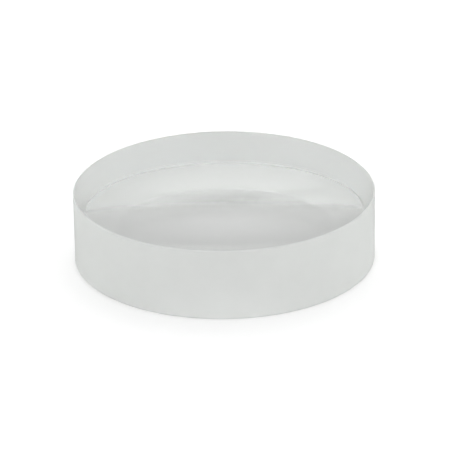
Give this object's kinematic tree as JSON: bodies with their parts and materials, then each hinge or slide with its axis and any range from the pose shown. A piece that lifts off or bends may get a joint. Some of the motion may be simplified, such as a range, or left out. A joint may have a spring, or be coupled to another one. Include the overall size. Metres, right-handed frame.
{
  "type": "biconcave lens",
  "caption": "Round biconcave lens: a clear glass disc with a shallow spherical hollow polished into each face, a fine-ground edge and bevelled rims.",
  "frame": {"origin": "optical centre of the lens, on its axis and halfway between the two polished faces", "axes": "+Z along the optical axis, out of the upper face; X and Y lie across the lens and are alike"},
  "size_m": [0.0254, 0.0254, 0.006],
  "materials": {
    "optical_glass": "clear crown glass, polished faces, fine-ground grey edge and bevels"
  },
  "bodies": {
    "root": {"biconcave_lens": "optical_glass"}
  },
  "joints": []
}
